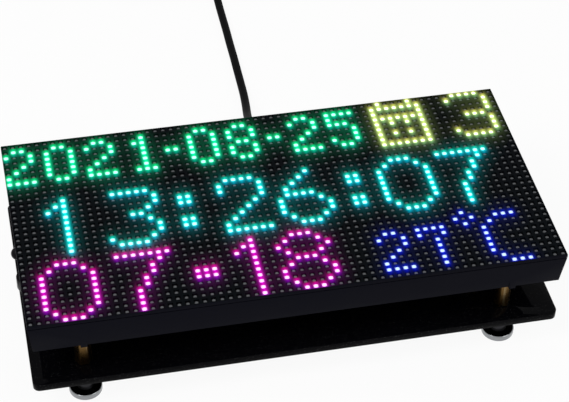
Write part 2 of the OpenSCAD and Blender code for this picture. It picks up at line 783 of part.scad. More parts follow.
// A tube of n sides swept along a list of points
function unit(v) = v / norm(v);
function heading(path, i) = unit(path[min(i + 1, len(path) - 1)] - path[max(i - 1, 0)]);
function ring_at(path, i, d, n) =
  let (t = heading(path, i), side = unit(cross(t, [0, 0, 1])), up = cross(side, t))
  [for (k = [0:n - 1]) path[i] + d / 2 * (cos(360 * (k + 0.5) / n) * side + sin(360 * (k + 0.5) / n) * up)];

module tube(path, d, n = 8) {
  last = len(path) - 1;
  points = [for (i = [0:last]) for (q = ring_at(path, i, d, n)) q];
  sides = [for (i = [0:last - 1]) for (k = [0:n - 1])
    let (a = i * n + k, b = i * n + (k + 1) % n)
    each [[a, a + n, b], [b, a + n, b + n]]];
  ends = [[for (k = [0:n - 1]) k], [for (k = [n - 1:-1:0]) last * n + k]];
  polyhedron(points, concat(sides, ends));
}

module power_cord() {
  color([0.12, 0.12, 0.12]) union() {
    tube(route, cord_d);
    tube(tail, cord_d);
  }
}

module cord_coil() {
  r = 1.2;
  color([0.12, 0.12, 0.12]) translate([coil_x, coil_y, coil_z]) rotate_extrude($fn = 96) union() {
    translate([coil_in + r, 0]) square([coil_out - coil_in - 2 * r, coil_h]);
    translate([coil_in, r]) square([coil_out - coil_in, coil_h - 2 * r]);
    for (x = [coil_in + r, coil_out - r]) for (y = [r, coil_h - r]) translate([x, y]) circle(r);
  }
}

module cord_tie() {
  width = coil_out - coil_in + tie_bow + 2 * tie_gap;
  color([0.1, 0.1, 0.1]) translate([coil_x - coil_out - tie_gap, coil_y, 0]) rotate([90, 0, 0])
    translate([0, 0, -tie_w / 2]) linear_extrude(tie_w) difference() {
      translate([-tie_t, 0]) square([width + 2 * tie_t, coil_h + 2 * tie_t + tie_gap]);
      translate([0, tie_t]) square([width, coil_h + tie_gap]);
    }
}

display_mask();
led_rows();
lit_green();
lit_yellow();
lit_cyan();
lit_magenta();
lit_blue();
led_board();
panel_frame();
mask_screws();
frame_inserts();
driver_chips();
driver_leads();
buffer_chips();
row_switch_chips();
capacitor_cans();
capacitor_bases();
data_in_shroud();
data_out_shroud();
data_pins();
power_header();
power_pins();
controller_board();
data_socket();
power_socket();
radio_module();
radio_can();
usb_socket();
coin_cell_holder();
coin_cell();
buzzer();
light_sensor();
ir_receiver();
post_front_left();
post_front_right();
post_rear_left();
post_rear_right();
base_plate();
foot_front_left();
foot_front_right();
foot_rear_left();
foot_rear_right();
foot_magnets();
foot_studs();
power_cord();
cord_coil();
cord_tie();
device_plug_grip();
device_plug_shell();
supply_plug_grip();
supply_plug_shell();
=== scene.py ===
"""Looks of a desk clock built on a full-colour LED dot-matrix module.

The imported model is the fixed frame. Places and sizes come from its boxes, in metres, and each
sub-assembly below is a class that builds its pieces by hand-modelling steps and dresses them.
"""

from __future__ import annotations

import logging
import math
from dataclasses import dataclass, field
from enum import Enum
from typing import Any, Callable, Iterable, Mapping, Sequence, Union

import bmesh
import bpy
import numpy as np
from mathutils import Matrix, Quaternion, Vector


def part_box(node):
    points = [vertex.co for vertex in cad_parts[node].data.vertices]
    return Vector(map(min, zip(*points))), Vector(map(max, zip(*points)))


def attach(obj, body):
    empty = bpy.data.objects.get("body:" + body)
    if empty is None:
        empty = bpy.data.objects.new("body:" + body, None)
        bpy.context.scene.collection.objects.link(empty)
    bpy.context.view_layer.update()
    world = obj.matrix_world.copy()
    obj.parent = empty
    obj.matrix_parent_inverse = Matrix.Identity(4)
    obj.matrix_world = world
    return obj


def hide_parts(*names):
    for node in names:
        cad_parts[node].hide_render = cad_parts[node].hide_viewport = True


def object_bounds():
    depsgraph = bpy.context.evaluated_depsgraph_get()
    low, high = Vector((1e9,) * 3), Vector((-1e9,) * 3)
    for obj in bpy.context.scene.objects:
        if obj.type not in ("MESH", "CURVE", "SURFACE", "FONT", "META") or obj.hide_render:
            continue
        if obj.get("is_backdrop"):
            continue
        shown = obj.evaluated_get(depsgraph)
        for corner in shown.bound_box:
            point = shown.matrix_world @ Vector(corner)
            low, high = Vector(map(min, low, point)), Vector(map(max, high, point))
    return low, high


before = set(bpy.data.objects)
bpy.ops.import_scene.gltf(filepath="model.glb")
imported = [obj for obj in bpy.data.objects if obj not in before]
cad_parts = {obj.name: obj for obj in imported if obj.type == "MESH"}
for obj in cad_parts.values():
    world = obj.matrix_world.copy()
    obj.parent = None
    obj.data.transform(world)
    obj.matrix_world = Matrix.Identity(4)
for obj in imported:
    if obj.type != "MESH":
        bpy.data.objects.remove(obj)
CAD_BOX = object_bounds()

LOG = logging.getLogger("desk_clock")
MM = 0.001
HAIR = 0.01 * MM
LEVEL = 0.9  # least upward part of the normal of a level face

GLOW = "glow"

Colour = tuple[float, float, float]
Number = Union[float, "Value"]


# ---------------------------------------------------------------- shader maths


class Value:
    """A shader socket that takes part in arithmetic as a number does."""

    def __init__(self, graph: "Graph", socket: bpy.types.NodeSocket) -> None:
        """Keeps the graph and the socket.

        Args:
            graph: The node tree that the socket is in.
            socket: The output socket.
        """
        self.graph = graph
        self.socket = socket

    def _maths(self, operation: str, first: Number, second: Number = 0.0) -> "Value":
        """Adds one Math node and returns its result."""
        return self.graph.node("ShaderNodeMath", {"operation": operation}, {0: first, 1: second})

    def __add__(self, other: Number) -> "Value":
        """Sum of this value and another."""
        return self._maths("ADD", self, other)

    __radd__ = __add__

    def __sub__(self, other: Number) -> "Value":
        """This value less another."""
        return self._maths("SUBTRACT", self, other)

    def __rsub__(self, other: Number) -> "Value":
        """Another value less this one."""
        return self._maths("SUBTRACT", other, self)

    def __mul__(self, other: Number) -> "Value":
        """Product of this value and another."""
        return self._maths("MULTIPLY", self, other)

    __rmul__ = __mul__

    def above(self, limit: Number) -> "Value":
        """1 where this value is above a limit, else 0."""
        return self._maths("GREATER_THAN", self, limit)

    def wave(self, length: float) -> "Value":
        """A wave from -1 to 1 that comes round after each length."""
        return self._maths("SINE", self * (2.0 * math.pi / length))


class Graph:
    """The node tree of a material or a world, written node by node."""

    def __init__(self, owner: bpy.types.Material | bpy.types.World) -> None:
        """Empties the owner's node tree.

        Args:
            owner: A new material or world.
        """
        owner.use_nodes = True
        self.owner = owner
        self.tree = owner.node_tree
        self.tree.nodes.clear()

    def _add(
        self, kind: str, settings: Mapping[str, Any], inputs: Mapping[Any, Any]
    ) -> bpy.types.Node:
        """Adds a node, sets it and joins its inputs."""
        made = self.tree.nodes.new(kind)
        for name, value in settings.items():
            setattr(made, name, value)
        for name, value in inputs.items():
            socket = made.inputs[name]
            if isinstance(value, Value):
                self.tree.links.new(value.socket, socket)
            else:
                socket.default_value = value
        return made

    def node(
        self,
        kind: str,
        settings: Mapping[str, Any] | None = None,
        inputs: Mapping[Any, Any] | None = None,
        output: int | str = 0,
    ) -> Value:
        """Adds a node and takes one of its outputs.

        Args:
            kind: Blender's name of the node type.
            settings: The node's own settings.
            inputs: Numbers, colours or values for the input sockets, by name or index.
            output: Which output to return.

        Returns:
            The chosen output.
        """
        return Value(self, self._add(kind, settings or {}, inputs or {}).outputs[output])

    def close(self, kind: str, shader: Value) -> None:
        """Ends the tree in an output node that shows the shader."""
        self._add(kind, {}, {"Surface": shader})

    def seen(self) -> Value:
        """1 for what the eye or a reflection sees, 0 for all other light."""
        eye = self.node("ShaderNodeLightPath", output="Is Camera Ray")
        return eye + self.node("ShaderNodeLightPath", output="Is Glossy Ray")

    def place(self, scale: Colour = (1.0, 1.0, 1.0)) -> Value:
        """Object coordinates in millimetres, scaled along each axis."""
        raw = self.node("ShaderNodeTexCoord", output="Object")
        size = tuple(part / MM for part in scale)
        return self.node("ShaderNodeMapping", {}, {"Vector": raw, "Scale": size})

    def axis(self, index: int) -> Value:
        """One object coordinate, in millimetres."""
        return self.node("ShaderNodeSeparateXYZ", {}, {0: self.place()}, output=index)

    def noise(self, size: float, detail: float = 2.0, stretch: Colour = (1.0, 1.0, 1.0)) -> Value:
        """Soft noise from 0 to 1.

        Args:
            size: Size of its patches, in millimetres.
            detail: How many finer layers it has.
            stretch: Scale along each axis.

        Returns:
            The noise value.
        """
        return self.node(
            "ShaderNodeTexNoise",
            {"noise_dimensions": "3D"},
            {"Vector": self.place(stretch), "Scale": 1.0 / size, "Detail": detail},
        )

    def blend(self, share: Number, first: Any, second: Any) -> Value:
        """Mixes two colours by a share."""
        return self.node(
            "ShaderNodeMix",
            {"data_type": "RGBA"},
            {0: share, 6: _rgba(first), 7: _rgba(second)},
            output=2,
        )

    def bump(self, height: Value, depth: float, strength: float = 1.0) -> Value:
        """A normal from a height, whose full range is depth, in millimetres."""
        return self.node(
            "ShaderNodeBump", {}, {"Height": height, "Distance": depth * MM, "Strength": strength}
        )

    def glow(self) -> dict[str, Any]:
        """The light that the mesh itself carries, as Principled sockets."""
        light = self.node("ShaderNodeAttribute", {"attribute_name": GLOW}, output="Color")
        return {"Emission Color": light, "Emission Strength": 1.0}

    def principled(self, sockets: Mapping[str, Any]) -> bpy.types.Material:
        """Ends the material in one Principled shader.

        Args:
            sockets: Values, numbers and colours of its inputs, by name.

        Returns:
            The finished material.
        """
        shader = self.node("ShaderNodeBsdfPrincipled", {}, sockets)
        self.close("ShaderNodeOutputMaterial", shader)
        return self.owner


def _rgba(colour: Any) -> Any:
    """A colour with its alpha, or a value as it is."""
    return colour if isinstance(colour, Value) else (*colour, 1.0)


# ---------------------------------------------------------------- finishes

Pattern = tuple[Value, Value, Union[Value, None]]


@dataclass(frozen=True)
class Finish:
    """A finish: a base colour, and a pattern in colour, gloss and relief.

    Attributes:
        name: Its name, which is also its material's.
        colour: Its base colour.
        roughness: Its roughness before the pattern.
        specular: Level of its plain reflection.
        metallic: 1 for bare metal.
        other: The pattern's second colour, as a share of the first.
        gloss: How far the pattern changes the roughness.
        depth: Depth of the relief, in millimetres.
        strength: How strongly the relief shows.
        glows: Whether it shows the light that the mesh carries.
    """

    name: str
    colour: Colour
    roughness: float
    specular: float = 0.5
    metallic: float = 0.0
    other: float = 1.5
    gloss: float = 0.1
    depth: float = 0.01
    strength: float = 1.0
    glows: bool = False

    def second(self) -> Colour:
        """The colour that the pattern brings in."""
        return tuple(part * self.other for part in self.colour)

    def pattern(self, graph: Graph) -> Pattern:
        """What varies over the surface.

        Args:
            graph: The material's nodes.

        Returns:
            Where the second colour shows, what the gloss follows, and the relief if any.
        """
        raise NotImplementedError

    def build(self) -> bpy.types.Material:
        """Makes the material.

        Returns:
            The finished material.
        """
        graph = Graph(bpy.data.materials.new(self.name))
        share, gloss, relief = self.pattern(graph)
        sockets: dict[str, Any] = {
            "Base Color": graph.blend(share, self.colour, self.second()),
            "Roughness": self.roughness + gloss * self.gloss,
            "Metallic": self.metallic,
            "Specular IOR Level": self.specular,
        }
        if relief is not None:
            sockets["Normal"] = graph.bump(relief, self.depth, self.strength)
        if self.glows:
            sockets.update(graph.glow())
        return graph.principled(sockets)


@dataclass(frozen=True)
class Moulded(Finish):
    """Injection-moulded plastic with a spark-eroded grain."""

    gloss: float = 0.16
    depth: float = 0.012
    grain: float = 0.35
    cloud: float = 24.0
    mottle: float = 0.25

    def pattern(self, graph: Graph) -> Pattern:
        """Fine grain in the relief, slow clouds in colour and gloss."""
        grain = graph.noise(self.grain, 3.0)
        cloud = graph.noise(self.cloud)
        return (cloud + grain) * self.mottle, cloud - 0.5 + (grain - 0.5) * 0.5, grain


@dataclass(frozen=True)
class Resin(Finish):
    """Milky resin poured in a lamp's cup, with the light of lit lamps on it."""

    other: float = 0.72
    gloss: float = 0.2
    glows: bool = True
    patch: float = 2.6

    def pattern(self, graph: Graph) -> Pattern:
        """Slight variation from lamp to lamp."""
        vary = graph.noise(self.patch, 1.0)
        return 1.0 - vary, vary - 0.5, None


@dataclass(frozen=True)
class PolishedSheet(Finish):
    """Cast acrylic sheet with a polished face, faint waviness and a little dust."""

    gloss: float = 0.3
    depth: float = 0.02
    strength: float = 0.4
    wave: float = 30.0
    smear: float = 9.0
    speck: float = 0.32
    rarity: float = 0.79
    dust: Colour = (0.09, 0.09, 0.09)

    def second(self) -> Colour:
        """The colour of the dust."""
        return self.dust

    def pattern(self, graph: Graph) -> Pattern:
        """Long shallow waves in the relief, and rare dust specks."""
        dust = graph.noise(self.speck, 0.0).above(self.rarity)
        smear = graph.noise(self.smear, 3.0)
        return dust * 0.6, dust + smear * 0.1, graph.noise(self.wave, 1.0)


@dataclass(frozen=True)
class Turned(Finish):
    """Metal turned on a lathe, with rings across its upright axis."""

    other: float = 0.68
    gloss: float = 0.16
    depth: float = 0.004
    ring: float = 0.22
    cloud: float = 3.2
    scratch: float = 0.5

    def pattern(self, graph: Graph) -> Pattern:
        """Tool rings in the relief, tarnish in colour and gloss."""
        cloud = graph.noise(self.cloud, 4.0)
        rings = graph.axis(2).wave(self.ring) * 0.5 + 0.5
        return 1.0 - cloud, cloud, rings + graph.noise(self.scratch) * 0.7


@dataclass(frozen=True)
class Drawn(Finish):
    """Bar stock as drawn: a dark base colour that is painted shade, with bright streaks along its
    upright length that are partly drawing marks and partly a painted highlight.
    """

    gloss: float = 0.16
    # Streak colour: partly a painted highlight, partly drawing marks.
    highlight_streak: Colour = (0.46, 0.36, 0.2)
    width: float = 1.3
    run: Colour = (1.0, 1.0, 0.03)
    threshold: float = 0.58
    contrast: float = 7.0
    cloud: float = 3.2

    def second(self) -> Colour:
        """The colour of the streaks, partly a painted highlight."""
        return self.highlight_streak

    def pattern(self, graph: Graph) -> Pattern:
        """Streaks in colour, partly a painted highlight, and in relief, and a little unevenness.
        """
        highlight_streaks = graph.noise(self.width, 1.0, self.run)
        cloud = graph.noise(self.cloud, 4.0)
        return (highlight_streaks - self.threshold) * self.contrast, cloud, highlight_streaks + cloud * 0.3


@dataclass(frozen=True)
class Epoxy(Finish):
    """Cast epoxy, glossy with faint flow marks."""

    other: float = 1.6
    flow: float = 1.4

    def pattern(self, graph: Graph) -> Pattern:
        """Flow marks in colour, gloss and relief."""
        flow = graph.noise(self.flow, 3.0)
        return flow, flow, flow


@dataclass(frozen=True)
class Sheet(Finish):
    """Stamped or rolled sheet metal, with fine marks along one direction."""

    other: float = 0.8
    gloss: float = 0.12
    depth: float = 0.004
    mark: float = 0.25
    stretch: Colour = (0.15, 1.0, 1.0)
    patch: float = 5.0

    def pattern(self, graph: Graph) -> Pattern:
        """Rolling marks in gloss and relief, patches in colour."""
        marks = graph.noise(self.mark, 3.0, self.stretch)
        return 1.0 - graph.noise(self.patch), marks, marks


@dataclass(frozen=True)
class SolderMask(Finish):
    """Lacquered circuit board with raised tracks under the lacquer."""

    other: float = 1.9
    gloss: float = 0.12
    depth: float = 0.02
    strength: float = 0.5
    track: float = 1.27
    bend: float = 11.0
    sway: float = 9.0
    patch: float = 0.8

    def pattern(self, graph: Graph) -> Pattern:
        """Tracks as straight runs that shift from patch to patch."""
        across = graph.axis(0) + graph.noise(self.bend, 0.0) * self.sway
        track = across.wave(self.track).above(0.25)
        return track, graph.noise(self.patch), track


@dataclass(frozen=True)
class Jacket(Finish):
    """Extruded cable jacket, slightly matt and mottled."""

    gloss: float = 0.2
    depth: float = 0.02
    fine: float = 0.5
    slow: float = 16.0

    def pattern(self, graph: Graph) -> Pattern:
        """Fine mottling with slow sheen changes."""
        fine = graph.noise(self.fine, 3.0)
        slow = graph.noise(self.slow)
        return fine * 0.5 + slow * 0.3, slow - 0.5, fine


@dataclass(frozen=True)
class Woven(Finish):
    """Woven hook-and-loop strap."""

    other: float = 2.4
    gloss: float = 0.08
    depth: float = 0.06
    thread: float = 0.45
    fuzz: float = 0.2

    def pattern(self, graph: Graph) -> Pattern:
        """Crossing threads in colour and relief, fuzz in gloss."""
        weave = graph.axis(0).wave(self.thread) * graph.axis(1).wave(self.thread) * 0.5 + 0.5
        fuzz = graph.noise(self.fuzz, 3.0)
        return weave * 0.5 + fuzz * 0.3, fuzz, weave + fuzz * 0.6


class Finishes:
    """Every finish of the clock, each material built once when it is first asked for."""

    CATALOGUE: tuple[Finish, ...] = (
        Moulded(
            "mask_plastic", (0.0026, 0.0034, 0.0044), 0.7, 0.02, grain=0.3, depth=0.01,
            glows=True,
        ),
        Moulded("frame_plastic", (0.0026, 0.0027, 0.0056), 0.55, 0.035, grain=0.4, depth=0.014),
        Moulded("chip_plastic", (0.012, 0.012, 0.013), 0.6, 0.3, grain=0.2, depth=0.006),
        Moulded("header_plastic", (0.01, 0.01, 0.01), 0.5, 0.3, grain=0.5, depth=0.006),
        Moulded(
            "header_white", (0.6, 0.59, 0.52), 0.45, 0.4, other=1.12, grain=0.5, depth=0.006,
            mottle=0.06,
        ),
        Moulded("plug_grip", (0.009, 0.009, 0.0095), 0.55, 0.25, grain=0.4, depth=0.02),
        Moulded("lamp_body", (0.004, 0.004, 0.005), 0.55, 0.05, grain=0.3, depth=0.004),
        Resin("lamp_package", (0.135, 0.14, 0.147), 0.5, 0.1),
        Resin("lit_resin", (0.2, 0.2, 0.2), 0.5, 0.1),
        PolishedSheet("black_acrylic", (0.0012, 0.0012, 0.0018), 0.03, 0.035),
        Epoxy("sensor_lens", (0.004, 0.004, 0.005), 0.12, 0.05),
        Epoxy("receiver_epoxy", (0.003, 0.0026, 0.003), 0.18, 0.05),
        # turned_brass: the dark base colour is painted shade of the posts under the module; its
        # streaks are partly a painted highlight.
        Drawn("turned_brass", (0.13, 0.074, 0.024), 0.2, metallic=1.0),
        # foot_nickel: base colour held below bare nickel (magnet_nickel) as painted shade.
        Turned("foot_nickel", (0.3, 0.31, 0.32), 0.09, metallic=1.0, other=0.872),
        # The neck's near-black colour is painted shade: a darkened copy of the foot's nickel.
        Turned("neck_painted_shade", (0.03, 0.03, 0.033), 0.1, metallic=1.0, other=0.872),
        Turned("magnet_nickel", (0.6, 0.6, 0.6), 0.2, metallic=1.0, depth=0.002),
        Turned("screw_steel", (0.42, 0.42, 0.43), 0.3, metallic=1.0),
        Sheet("tinned_leads", (0.62, 0.62, 0.62), 0.25, metallic=1.0),
        Sheet("can_aluminium", (0.78, 0.79, 0.8), 0.2, metallic=1.0),
        Sheet("pin_gold", (0.8, 0.58, 0.22), 0.2, metallic=1.0),
        Sheet("screened_can", (0.6, 0.6, 0.59), 0.3, metallic=1.0),
        Sheet("plug_steel", (0.62, 0.62, 0.63), 0.22, metallic=1.0),
        Sheet("cell_steel", (0.6, 0.6, 0.6), 0.18, metallic=1.0),
        SolderMask("lamp_board", (0.004, 0.016, 0.009), 0.3, 0.4),
        SolderMask("controller_mask", (0.004, 0.005, 0.008), 0.28, 0.4),
        SolderMask("radio_board", (0.005, 0.006, 0.007), 0.3, 0.4),
        Jacket("cord_jacket", (0.0034, 0.0034, 0.0037), 0.6, 0.035),
        Woven("tie_fabric", (0.006, 0.006, 0.006), 0.9, 0.2),
    )

    def __init__(self) -> None:
        """Starts with no material built."""
        self._known = {finish.name: finish for finish in self.CATALOGUE}
        self._built: dict[str, bpy.types.Material] = {}

    def get(self, name: str) -> bpy.types.Material:
        """The material of a finish.

        Args:
            name: Name in the catalogue.

        Returns:
            The material, built on first use.
        """
        if name not in self._built:
            self._built[name] = self._known[name].build()
        return self._built[name]


FINISHES = Finishes()


# ---------------------------------------------------------------- hand modelling


class Part(Enum):
    """What a selection in edit mode is made of."""

    FACES = "FACE"
    EDGES = "EDGE"
    VERTICES = "VERT"


Test = Callable[[Vector, Vector], bool]


def faces_up(_centre: Vector, way: Vector) -> bool:
    """Whether a face is level and looks up."""
    return way.z > LEVEL


def faces_down(_centre: Vector, way: Vector) -> bool:
    """Whether a face is level and looks down."""
    return way.z < -LEVEL


def deselect_all() -> None:
    """Deselects everything, since an operator acts on all that is selected."""
    bpy.ops.object.select_all(action="DESELECT")


def put_in_scene(name: str, data: bpy.types.ID) -> bpy.types.Object:
    """A new object in the scene, from its mesh, curve, camera or light."""
    obj = bpy.data.objects.new(name, data)
    bpy.context.scene.collection.objects.link(obj)
    return obj


class Piece:
    """One mesh piece on the bench, shaped by the same steps as by hand."""

    DOUBLES = 0.001 * MM
    FLAT = math.radians(0.5)

    def __init__(self, obj: bpy.types.Object) -> None:
        """Takes the object and makes it the only one selected.

        Args:
            obj: The mesh object.
        """
        self.obj = obj
        self._alone()

    @classmethod
    def _added(cls, name: str) -> "Piece":
        """Names the primitive that was just added and applies its place."""
        obj = bpy.context.active_object
        obj.name = name
        obj.data.name = name
        return cls(obj).settle()

    @classmethod
    def box(cls, name: str, low: Vector, high: Vector) -> "Piece":
        """Starts from a block between two corners."""
        deselect_all()
        bpy.ops.mesh.primitive_cube_add(size=1.0, location=(low + high) / 2.0, scale=high - low)
        return cls._added(name)

    @classmethod
    def plane(cls, name: str, width: float, depth: float, centre: Vector) -> "Piece":
        """Starts from a flat rectangle."""
        deselect_all()
        bpy.ops.mesh.primitive_plane_add(size=1.0, location=centre)
        bpy.context.active_object.scale = (width, depth, 1.0)
        return cls._added(name)

    @classmethod
    def rod(
        cls, name: str, radius: float, height: float, foot: Vector, sides: int
    ) -> "Piece":
        """Starts from a cylinder that stands on a point.

        Args:
            name: Name of the piece.
            radius: Its radius.
            height: Its height.
            foot: Centre of its lower end.
            sides: Number of sides.

        Returns:
            The piece.
        """
        deselect_all()
        bpy.ops.mesh.primitive_cylinder_add(
            vertices=sides, radius=radius, depth=height, location=(0.0, 0.0, height / 2.0)
        )
        return cls._added(name).shift(foot)

    @classmethod
    def copy_of_node(cls, name: str, node: str) -> "Piece":
        """Starts from a merged copy of a CAD node, its flat faces whole again."""
        obj = put_in_scene(name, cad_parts[node].data.copy())
        obj.data.materials.clear()
        return cls(obj).edit(
            lambda: bpy.ops.mesh.select_all(action="SELECT"),
            lambda: bpy.ops.mesh.remove_doubles(threshold=cls.DOUBLES),
            lambda: bpy.ops.mesh.dissolve_limited(angle_limit=cls.FLAT),
        )

    def _alone(self) -> None:
        """Makes this the only selected object, and the active one."""
        deselect_all()
        self.obj.select_set(True)
        bpy.context.view_layer.objects.active = self.obj

    def settle(self) -> "Piece":
        """Puts the piece's place, turn and scale in its mesh."""
        self._alone()
        bpy.ops.object.transform_apply(location=True, rotation=True, scale=True)
        return self

    def edit(self, *steps: Callable[[], Any]) -> "Piece":
        """Runs steps in edit mode.

        Args:
            steps: Calls of edit-mode operators, in order.

        Returns:
            This piece.
        """
        self._alone()
        bpy.ops.object.mode_set(mode="EDIT")
        for step in steps:
            step()
        bpy.ops.object.mode_set(mode="OBJECT")
        return self

    def pick(self, part: Part, test: Test) -> Callable[[], None]:
        """A step that selects only what passes a test.

        Args:
            part: Faces, edges or vertices.
            test: Takes the centre, and the normal of a face, the direction of an edge or
                the normal of a vertex.

        Returns:
            The step.
        """

        def step() -> None:
            """Selects in the open edit mesh."""
            bpy.ops.mesh.select_all(action="DESELECT")
            bpy.ops.mesh.select_mode(type=part.value)
            mesh = bmesh.from_edit_mesh(self.obj.data)
            for item, centre, way in _items(mesh, part):
                if test(centre, way):
                    item.select_set(True)
            mesh.select_flush_mode()
            bmesh.update_edit_mesh(self.obj.data)

        return step

    def inset(self, part: Test, thickness: float, depth: float = 0.0) -> "Piece":
        """Insets the faces that pass a test, as one region."""
        return self.edit(
            self.pick(Part.FACES, part),
            lambda: bpy.ops.mesh.inset(thickness=thickness, depth=depth),
        )

    def delete(self, part: Test) -> "Piece":
        """Deletes the faces that pass a test."""
        return self.edit(self.pick(Part.FACES, part), lambda: bpy.ops.mesh.delete(type="FACE"))

    def bevel(self, edges: Test, width: float) -> "Piece":
        """Rounds the edges that pass a test."""
        return self.edit(
            self.pick(Part.EDGES, edges),
            lambda: bpy.ops.mesh.bevel(offset=width, segments=2, affect="EDGES"),
        )

    def soften(self, width: float, segments: int = 2, angle: float = 35.0) -> "Piece":
        """Rounds every edge sharper than an angle, in degrees."""
        return self.modifier(
            "BEVEL",
            width=width,
            segments=segments,
            limit_method="ANGLE",
            angle_limit=math.radians(angle),
            use_clamp_overlap=True,
        )

    def modifier(self, kind: str, **settings: Any) -> "Piece":
        """Adds a modifier and applies it.

        Args:
            kind: Blender's name of the modifier type.
            settings: Its settings.

        Returns:
            This piece.
        """
        self._alone()
        bpy.ops.object.modifier_add(type=kind)
        made = self.obj.modifiers[-1]
        for name, value in settings.items():
            setattr(made, name, value)
        bpy.ops.object.modifier_apply(modifier=made.name)
        return self

    def repeat(self, count: int, step: Vector, merge: bool = False) -> "Piece":
        """Repeats the piece in a row.

        Args:
            count: Number of copies with the first.
            step: From one to the next.
            merge: Whether copies that meet are joined.

        Returns:
            This piece.
        """
        return self.modifier(
            "ARRAY",
            count=count,
            use_relative_offset=False,
            use_constant_offset=True,
            constant_offset_displace=step,
            use_merge_vertices=merge,
            merge_threshold=0.002 * MM,
        )

    def shift(self, step: Vector) -> "Piece":
        """Moves the mesh."""
        self.obj.data.transform(Matrix.Translation(step))
        return self

    def join(self, *others: "Piece") -> "Piece":
        """Joins other pieces into this one."""
        self._alone()
        for other in others:
            other.obj.select_set(True)
        bpy.ops.object.join()
        return self

    def copy(self, name: str, step: Vector) -> "Piece":
        """A copy with its own mesh, moved by a step."""
        return Piece(put_in_scene(name, self.obj.data.copy())).shift(step)

    def smooth(self, angle: float = 32.0) -> "Piece":
        """Smooths the shading across edges flatter than an angle, in degrees."""
        self._alone()
        bpy.ops.object.shade_smooth_by_angle(angle=math.radians(angle))
        return self

    def paint(self, *names: str) -> "Piece":
        """Gives the piece its material slots, by finish."""
        self.obj.data.materials.clear()
        for name in names:
            self.obj.data.materials.append(FINISHES.get(name))
        return self

    def mark(self, test: Test) -> "Piece":
        """Gives the faces that pass a test the second material."""
        for face in self.obj.data.polygons:
            if test(face.center, face.normal):
                face.material_index = 1
        return self

    def ready(self, slot: str, *nodes: str) -> bpy.types.Object:
        """Hands the finished piece over to the frame.

        Args:
            slot: The record's material slot; not used.
            nodes: The CAD nodes that it stands for.

        Returns:
            The object.
        """
        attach(self.obj, "root")
        if nodes:
            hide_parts(*nodes)
        LOG.info("%s: %d faces", self.obj.name, len(self.obj.data.polygons))
        return self.obj


def _items(mesh: bmesh.types.BMesh, part: Part) -> Iterable[tuple[Any, Vector, Vector]]:
    """Each face, edge or vertex of a mesh with its centre and its normal or direction."""
    if part is Part.FACES:
        for face in mesh.faces:
            yield face, face.calc_center_median(), face.normal
    elif part is Part.EDGES:
        for edge in mesh.edges:
            first, last = (vertex.co for vertex in edge.verts)
            yield edge, (first + last) / 2.0, (last - first).normalized()
    else:
        for vertex in mesh.verts:
            yield vertex, vertex.co, vertex.normal


def coordinates(obj: bpy.types.Object) -> np.ndarray:
    """The mesh's vertices as an array of rows, in metres."""
    found = np.zeros(len(obj.data.vertices) * 3)
    obj.data.vertices.foreach_get("co", found)
    return found.reshape(-1, 3)


def dress(finish: str, *nodes: str) -> None:
    """Gives CAD nodes that stay their finish."""
    for node in nodes:
        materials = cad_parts[node].data.materials
        materials.clear()
        materials.append(FINISHES.get(finish))
        LOG.info("%s: dressed in %s", node, finish)


def soft_copy(
    name: str, node: str, finish: str, width: float, segments: int = 2
) -> bpy.types.Object:
    """A copy of a CAD node with rounded edges, which stands for it.

    Args:
        name: Name of the new piece.
        node: The CAD node.
        finish: Its finish, which is also its material slot.
        width: Width of the rounding, in metres.
        segments: Faces across the rounding.

    Returns:
        The object.
    """
    piece = Piece.copy_of_node(name, node).soften(width, segments).smooth().paint(finish)
    return piece.ready(finish, node)


# ---------------------------------------------------------------- the lamps and their light


class Hue(Enum):
    """Colours of the readings: node, the light that spills, and the lamp's own core."""

    GREEN = ("lit_green", (0.0, 1.0, 0.42), (0.69, 1.0, 0.95))
    YELLOW = ("lit_yellow", (0.64, 0.88, 0.24), (0.97, 0.98, 0.78))
    CYAN = ("lit_cyan", (0.0, 0.86, 0.84), (0.69, 1.0, 1.0))
    MAGENTA = ("lit_magenta", (0.66, 0.0, 0.54), (1.0, 0.8, 1.0))
    BLUE = ("lit_blue", (0.0, 0.01, 0.55), (0.66, 0.9, 1.0))

    def __init__(self, node: str, spill: Colour, core: Colour) -> None:
        """Names the three parts."""
        self.node = node
        self.spill = spill
        self.core = core


@dataclass(frozen=True)
class Sign:
    """A sign as the display shows it, one character of its rows for each lamp."""

    hue: Hue
    column: int
    row: int
    rows: tuple[str, ...]

    def lamps(self, marks: str) -> set[tuple[int, int]]:
        """Column and row of each lamp whose character is among the marks."""
        return {
            (self.column + across, self.row + down)
            for down, line in enumerate(self.rows)
            for across, mark in enumerate(line)
            if mark in marks
        }


SIGNS: tuple[Sign, ...] = (
    Sign(
        Hue.CYAN, 11, 11,
        (
            " ##### ", "      #", "      #", "     # ", "   ##  ",
            "     # ", "      #", "      #", "#    # ", " ####  ",
        ),
    ),
    Sign(
        Hue.BLUE, 52, 22,
        (
            " #      ", "# #  ###", " #  #   ", "   #    ", "   #    ",
            "   #    ", "   #    ", "   #    ", "    #   ", "     ###",
        ),
    ),
)


